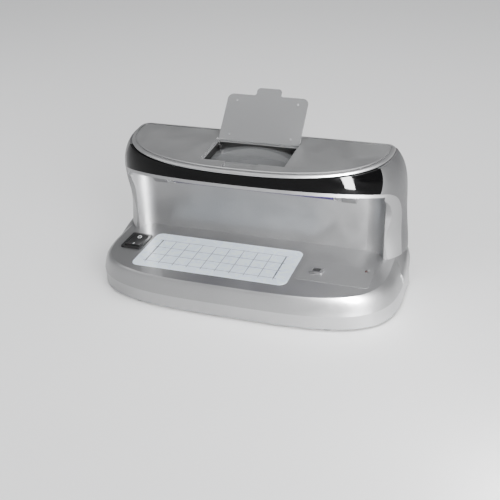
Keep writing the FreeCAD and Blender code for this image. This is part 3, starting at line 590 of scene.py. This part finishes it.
class DETECTOR_OT_lid(bpy.types.Operator):
    """Magnifier lid with its finger tab, hinge roll, hinge pins and four soft pips"""
    bl_idname = "detector.lid"
    bl_label = "Magnifier lid"

    def execute(self, context):
        sizes = settings(context).lid
        lean = math.radians(45.0)
        half, reach, tab_half, thick, pin = sizes.half, sizes.reach, sizes.tab_half, sizes.thick, sizes.pin
        tip = reach + sizes.tab_reach
        bm = bmesh.new()
        step = [(-half, 0.0), (half, 0.0), (half, reach), (tab_half, reach), (tab_half, tip), (-tab_half, tip),
                (-tab_half, reach), (-half, reach)]
        face = bm.faces.new([bm.verts.new((x, y, -thick / 2)) for x, y in step])
        raised = bmesh.ops.extrude_face_region(bm, geom=[face])
        bmesh.ops.translate(bm, vec=(0, 0, thick),
                            verts=[v for v in raised["geom"] if isinstance(v, bmesh.types.BMVert)])
        bmesh.ops.recalc_face_normals(bm, faces=bm.faces)
        bm.normal_update()

        def at(edge, x, y):
            return upright(edge) and all(abs(abs(v.co.x) - x) < 1e-6 and abs(v.co.y - y) < 1e-6
                                         for v in edge.verts)

        round_edges(bm, [e for e in bm.edges if at(e, half, reach)], sizes.corner, 10)
        round_edges(bm, [e for e in bm.edges if at(e, tab_half, tip)], sizes.tab_corner, 8)
        round_edges(bm, [e for e in bm.edges if at(e, tab_half, reach)], 1.4 * MM, 6)
        for z in (thick / 2, -thick / 2):
            free = [e for e in rim_edges(bm, z) if max(v.co.y for v in e.verts) > 1e-6]
            round_edges(bm, free, sizes.edge, 3)
        roll = placed(turned([(0, -half), (thick / 2, -half), (thick / 2, half), (0, half)], 24),
                      along((0, 0, 0), (1, 0, 0)))
        pins = placed(turned([(0, -half - 1.4 * MM), (pin * 0.8, -half - 1.4 * MM), (pin, -half - 1.2 * MM),
                              (pin, half + 1.2 * MM), (pin * 0.8, half + 1.4 * MM), (0, half + 1.4 * MM)], 20),
                      along((0, 0, 0), (1, 0, 0)))
        stand = Matrix.Translation(HINGE) @ Matrix.Rotation(lean, 4, "X")
        grey = plastic("Lid grey", sizes.grey, 0.34, grain=0.5, depth=0.01, variation=0.08, coat=0.25)
        piece("lid_plate", placed(gather([bm, roll, pins]), stand), grey, "lid", nodes=("magnifier_lid",),
              crease=12)
        dots = []
        for x in (-21.5, 21.5):
            for y in (3.8, 29.4):
                dome = turned([(0.8 * MM, 0), (0.78 * MM, 0.2 * MM), (0.6 * MM, 0.38 * MM),
                               (0.3 * MM, 0.44 * MM), (0, 0.45 * MM)], 20)
                dots.append(placed(dome, Matrix.Translation((x * MM, y * MM, thick / 2))))
        soft = plastic("Soft pips", (0.22, 0.22, 0.225), 0.55, grain=0.3)
        piece("lid_soft_pips", placed(gather(dots), stand), soft, "lid", nodes=("lid_pips",))
        return {"FINISHED"}


class DETECTOR_OT_magnifier(bpy.types.Operator):
    """Clear magnifier with its domed upper face, and the frame that clamps it"""
    bl_idname = "detector.magnifier"
    bl_label = "Magnifier"

    def execute(self, context):
        low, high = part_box("lens")
        slope = math.atan(TOP_SLOPE)
        wide, deep, edge, radius = 54.0 * MM, 28.8 * MM, 2.0 * MM, 89.0 * MM
        bm = bmesh.new()
        bmesh.ops.create_grid(bm, x_segments=48, y_segments=26, size=0.5,
                              matrix=Matrix.Diagonal((wide, deep, 1.0, 1.0)))
        reach = math.hypot(wide / 2, deep / 2)
        base = math.sqrt(radius ** 2 - reach ** 2)
        for v in bm.verts:
            v.co.z = edge + math.sqrt(radius ** 2 - v.co.x ** 2 - v.co.y ** 2) - base
        rim = [e for e in bm.edges if e.is_boundary]
        wall = bmesh.ops.extrude_edge_only(bm, edges=rim)
        lower = [v for v in wall["geom"] if isinstance(v, bmesh.types.BMVert)]
        for v in lower:
            v.co.z = 0.0
        bmesh.ops.edgeloop_fill(bm, edges=[e for e in bm.edges if e.is_boundary])
        top = edge + radius - base
        middle = Vector((0, (low.y + high.y) / 2, high.z))
        stand = Matrix.Translation(middle) @ Matrix.Rotation(slope, 4, "X") @ Matrix.Translation((0, 0, -top))
        acrylic = clear("Magnifier acrylic", (0.22, 0.225, 0.23), 0.10, transmission=0.5)
        piece("magnifier", placed(bm, stand), acrylic, "housing", nodes=("lens",),
              crease=40)
        dress("lens_clamp", plastic("Black frame", (0.02, 0.02, 0.021), 0.5, grain=0.5))
        return {"FINISHED"}


class DETECTOR_OT_switch(bpy.types.Operator):
    """Rocker switch: bezel, dished rocker with its on and off marks, and terminals"""
    bl_idname = "detector.switch"
    bl_label = "Rocker switch"

    def execute(self, context):
        sizes = settings(context).switch
        black = plastic("Switch black", sizes.black, 0.42, grain=0.35, depth=0.01, specular=0.3)
        dress("switch_body", black)
        wide, reach = sizes.half, sizes.reach
        dish = 1.05 * MM
        bm = bmesh.new()
        made = bmesh.ops.create_grid(bm, x_segments=10, y_segments=24, size=0.5,
                                     matrix=Matrix.Diagonal((wide * 2, reach * 2, 1.0, 1.0)))
        for v in made["verts"]:
            v.co.z = 4.0 * MM - dish * (1 - (v.co.y / reach) ** 2)
        wall = bmesh.ops.extrude_edge_only(bm, edges=[e for e in bm.edges if e.is_boundary])
        for v in [g for g in wall["geom"] if isinstance(g, bmesh.types.BMVert)]:
            v.co.z = -2.9 * MM
        bmesh.ops.edgeloop_fill(bm, edges=[e for e in bm.edges if e.is_boundary])
        bm.normal_update()
        crisp = [e for e in bm.edges if e.calc_face_angle(0.0) > math.radians(40) and e.verts[0].co.z > 0
                 and e.verts[1].co.z > 0]
        round_edges(bm, crisp, sizes.edge, 3)
        axle = placed(turned([(0, -6.2 * MM), (1.0 * MM, -6.2 * MM), (1.0 * MM, 6.2 * MM), (0, 6.2 * MM)], 24),
                      along((0, 0, 0), (1, 0, 0)))
        stand = Matrix.Translation(PIVOT)
        piece("rocker", placed(gather([bm, axle]), stand), black, "rocker", nodes=("switch_rocker",))
        white = plastic("Mark white", sizes.mark, 0.5, grain=0.3)
        bar = slab((-0.35 * MM, -6.4 * MM, 3.05 * MM), (0.35 * MM, -3.6 * MM, 3.74 * MM), corner=0.15 * MM,
                   corner_steps=3)
        ring = bmesh.new()
        for radius in (1.5 * MM, 0.95 * MM):
            bmesh.ops.create_circle(ring, radius=radius, segments=36)
        bmesh.ops.bridge_loops(ring, edges=list(ring.edges))
        thick = bmesh.ops.extrude_face_region(ring, geom=list(ring.faces))
        bmesh.ops.translate(ring, vec=(0, 0, 0.5 * MM),
                            verts=[v for v in thick["geom"] if isinstance(v, bmesh.types.BMVert)])
        placed(ring, Matrix.Translation((0, 4.9 * MM, 3.22 * MM)))
        for v in [*ring.verts, *bar.verts]:
            lift = 0.04 * MM if v.co.z > 3.4 * MM else -0.3 * MM
            v.co.z = 2.97 * MM + dish * (v.co.y / reach) ** 2 + lift
        piece("rocker_marks", placed(gather([bar, ring]), stand), white, "rocker")
        dress("switch_terminals", metal("Tinned brass", (0.70, 0.60, 0.38), 0.3))
        return {"FINISHED"}


class DETECTOR_OT_sensor(bpy.types.Operator):
    """Magnetic head, indicator and the film round them"""
    bl_idname = "detector.sensor"
    bl_label = "Magnetic head"

    def execute(self, context):
        steel = metal("Head steel", (0.24, 0.24, 0.245), 0.34, density=5000.0)
        dress("sensor_frame", steel)
        dress("sensor_core", plastic("Head epoxy", (0.015, 0.015, 0.016), 0.35, grain=0.3))
        dress("sensor_coil", plastic("Coil former", (0.02, 0.02, 0.02), 0.5))
        film = plastic("Label film", (0.17, 0.171, 0.174), 0.38, grain=0.3, depth=0.004, variation=0.04,
                       coat=0.3)
        dress("sensor_label", film)
        lens = plastic("Indicator lens", (0.03, 0.004, 0.004), 0.35, grain=0.5, depth=0.001, specular=0.2)
        dress("indicator_led", lens)
        return {"FINISHED"}


class DETECTOR_OT_lamp(bpy.types.Operator):
    """Ultraviolet tube with its caps, holders and reflector"""
    bl_idname = "detector.lamp"
    bl_label = "Ultraviolet lamp"

    def execute(self, context):
        low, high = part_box("uv_tube")
        centre = (low + high) / 2
        radius = (high.z - low.z) / 2
        half = (high.x - low.x) / 2
        glass = plastic("Violet filter glass", (0.035, 0.02, 0.12), 0.08, grain=2.0, depth=0.001, coat=0.8)
        tube = turned([(radius * 0.96, -half), (radius, -half + 0.6 * MM), (radius, half - 0.6 * MM),
                       (radius * 0.96, half)], 48)
        piece("lamp_tube", placed(tube, along(centre, (1, 0, 0))), glass, "housing", nodes=("uv_tube",))
        dress("tube_caps", metal("Cap aluminium", (0.78, 0.78, 0.79), 0.3))
        dress("lamp_holders", plastic("Holder plastic", (0.10, 0.10, 0.102), 0.5))
        dress("lamp_reflector", metal("Reflector aluminium", (0.85, 0.86, 0.87), 0.16, density=1500.0))
        return {"FINISHED"}


class DETECTOR_OT_electronics(bpy.types.Operator):
    """Boards, parts on them and the wires"""
    bl_idname = "detector.electronics"
    bl_label = "Electronics"

    def execute(self, context):
        board = circuit_board()
        nylon = plastic("Natural nylon", (0.72, 0.70, 0.64), 0.45, grain=0.5)
        chip = plastic("Chip epoxy", (0.015, 0.015, 0.016), 0.55, grain=0.2)
        for name in ("control_board", "power_board"):
            dress(name, board)
        for name in ("board_standoffs", "power_standoffs"):
            dress(name, nylon)
        for name in ("control_chips", "buzzer"):
            dress(name, chip)
        dress("lamp_inverter", plastic("Coil tape", (0.62, 0.47, 0.05), 0.35, grain=0.8))
        dress("capacitors", plastic("Capacitor sleeve", (0.015, 0.02, 0.08), 0.25, grain=0.8, coat=0.4))
        dress("mains_transformer", metal("Varnished laminations", (0.20, 0.17, 0.15), 0.5, density=9000.0))
        wire = plastic("Wire insulation", (0.38, 0.03, 0.02), 0.4, grain=0.6)
        for name in ("mains_leads", "wire_loom"):
            dress(name, wire)
        dress("inlet_socket", plastic("Inlet black", (0.015, 0.015, 0.016), 0.4, grain=0.4))
        dress("inlet_pins", metal("Inlet brass", (0.74, 0.64, 0.42), 0.25))
        return {"FINISHED"}


class DETECTOR_OT_screws(bpy.types.Operator):
    """Zinc plating on every screw"""
    bl_idname = "detector.screws"
    bl_label = "Screws"

    def execute(self, context):
        steel = metal("Zinc plated steel", (0.58, 0.58, 0.56), 0.3, density=4000.0)
        for place in ("base", "rear", "top", "clamp", "board", "power"):
            dress(place + "_screws", steel)
        return {"FINISHED"}


class DETECTOR_OT_feet(bpy.types.Operator):
    """Four rubber feet"""
    bl_idname = "detector.feet"
    bl_label = "Rubber feet"

    def execute(self, context):
        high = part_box("rubber_feet")[1]
        radius, height = 5.4 * MM, high.z
        feet = []
        front_x, front_y, ground = frame["record"]["mounts"][0]["pos_m"]
        for x, y in ((front_x, front_y), (high.x - radius, high.y - radius)):
            for side in (-1, 1):
                foot = turned([(0, 0), (radius - 0.7 * MM, 0), (radius - 0.25 * MM, 0.18 * MM),
                               (radius, 0.6 * MM), (radius, height), (0, height)], 40)
                feet.append(placed(foot, Matrix.Translation((side * x, y, ground))))
        rubber = plastic("Foot rubber", (0.02, 0.02, 0.02), 0.75, grain=0.4, depth=0.05)
        piece("feet", gather(feet), rubber, "housing", nodes=("rubber_feet",))
        return {"FINISHED"}


class DETECTOR_OT_stage(bpy.types.Operator):
    """Pale floor, soft lights and the camera"""
    bl_idname = "detector.stage"
    bl_label = "Stage"

    def execute(self, context):
        stage = settings(context).stage
        bm = bmesh.new()
        bmesh.ops.create_grid(bm, x_segments=1, y_segments=1, size=6.0)
        mesh = bpy.data.meshes.new("floor")
        bm.to_mesh(mesh)
        bm.free()
        floor = bpy.data.objects.new("floor", mesh)
        context.scene.collection.objects.link(floor)
        material, tree, shader, place = start_material("Pale floor")
        cloud = add_node(tree, "ShaderNodeTexNoise", Vector=place, Scale=3.0, Detail=2.0).outputs["Fac"]
        dim = tuple(c * 0.985 for c in stage.floor)
        tint = blend_colours(tree, cloud, (*dim, 1.0), (*stage.floor, 1.0))
        tree.links.new(tint, shader.inputs["Base Color"])
        shader.inputs["Roughness"].default_value = 0.85
        mesh.materials.append(material)
        world = bpy.data.worlds.new("studio")
        context.scene.world = world
        world.use_nodes = True
        backdrop = world.node_tree.nodes["Background"]
        tree = world.node_tree
        sky = add_node(tree, "ShaderNodeTexCoord").outputs["Generated"]
        split = add_node(tree, "ShaderNodeSeparateXYZ", Vector=sky)
        rear = remap(tree, split.outputs["Y"], -0.3, 0.8, 0.0, 1.0)
        tree.links.new(blend_colours(tree, rear, (0.93, 0.94, 0.96, 1.0), (0.42, 0.425, 0.43, 1.0)),
                       backdrop.inputs["Color"])
        backdrop.inputs["Strength"].default_value = 0.75
        for name, place, aim, wide, tall, power, diffuse in (
                ("key", (0.52, -0.62, 0.19), (0.02, 0.0, 0.06), 0.26, 0.34, 5.0, True),
                ("strip", (0.214, -0.175, 0.152), (0.069, -0.011, 0.152), 0.045, 0.30, 20.0, False),
                ("side", (0.72, -0.80, 0.62), (0.0, 0.0, 0.06), 0.42, 0.5, 5.0, True),
                ("fill", (-0.75, -0.55, 0.5), (0.0, 0.0, 0.05), 0.7, 0.6, 2.6, True),
                ("top", (-0.05, 0.15, 0.95), (0.0, 0.0, 0.05), 0.9, 0.6, 5.6, True)):
            light = bpy.data.lights.new(name, "AREA")
            light.shape = "RECTANGLE"
            light.size = wide
            light.size_y = tall
            light.energy = power
            lamp = bpy.data.objects.new(name, light)
            lamp.location = place
            lamp.rotation_euler = (Vector(aim) - Vector(place)).to_track_quat("-Z", "Y").to_euler()
            lamp.visible_diffuse = diffuse
            context.scene.collection.objects.link(lamp)
        lens = bpy.data.cameras.new("camera")
        lens.lens = stage.focal
        lens.sensor_width = 36.0
        eye = bpy.data.objects.new("camera", lens)
        forward = Vector(stage.aim).normalized()
        right = forward.cross(Vector((0, 0, 1))).normalized()
        up = right.cross(forward)
        c, s = math.cos(stage.roll), math.sin(stage.roll)
        right, up = right * c + up * s, up * c - right * s
        turn = Matrix((right, up, -forward)).transposed().to_4x4()
        eye.matrix_world = Matrix.Translation(stage.eye) @ turn
        context.scene.collection.objects.link(eye)
        context.scene.camera = eye
        return {"FINISHED"}


OPERATORS = (
    DETECTOR_OT_casings, DETECTOR_OT_plate, DETECTOR_OT_lid, DETECTOR_OT_magnifier, DETECTOR_OT_switch,
    DETECTOR_OT_sensor, DETECTOR_OT_lamp, DETECTOR_OT_electronics, DETECTOR_OT_screws, DETECTOR_OT_feet,
    DETECTOR_OT_stage,
)


class DetectorSettings(bpy.types.PropertyGroup):
    casings: PointerProperty(type=CasingFinishes, name="Casings", description="Finishes of the casings")
    plate: PointerProperty(type=PlateSizes, name="Plate", description="Sizes of the ruled plate")
    lid: PointerProperty(type=LidSizes, name="Lid", description="Sizes of the magnifier lid")
    switch: PointerProperty(type=SwitchSizes, name="Switch", description="Sizes of the rocker switch")
    stage: PointerProperty(type=StageSizes, name="Stage", description="Camera and floor")


class DETECTOR_PT_panel(bpy.types.Panel):
    """Lists the pieces and their sizes"""
    bl_label = "Banknote detector"
    bl_idname = "DETECTOR_PT_panel"
    bl_space_type = "VIEW_3D"
    bl_region_type = "UI"
    bl_category = "Detector"

    def draw(self, context):
        layout = self.layout
        for operator in OPERATORS:
            layout.operator(operator.bl_idname)
        for group in ("casings", "plate", "lid", "switch", "stage"):
            box = layout.box()
            box.label(text=group.capitalize())
            values = getattr(settings(context), group)
            for key in values.__annotations__:
                box.prop(values, key)


CLASSES = (
    CasingFinishes, PlateSizes, LidSizes, SwitchSizes, StageSizes, DetectorSettings, *OPERATORS,
    DETECTOR_PT_panel,
)


def register():
    for cls in CLASSES:
        bpy.utils.register_class(cls)
    bpy.types.Scene.detector = PointerProperty(type=DetectorSettings)


def unregister():
    del bpy.types.Scene.detector
    for cls in reversed(CLASSES):
        bpy.utils.unregister_class(cls)


def main():
    register()
    for operator in OPERATORS:
        group, name = operator.bl_idname.split(".")
        getattr(getattr(bpy.ops, group), name)()


if __name__ == "__main__":
    main()
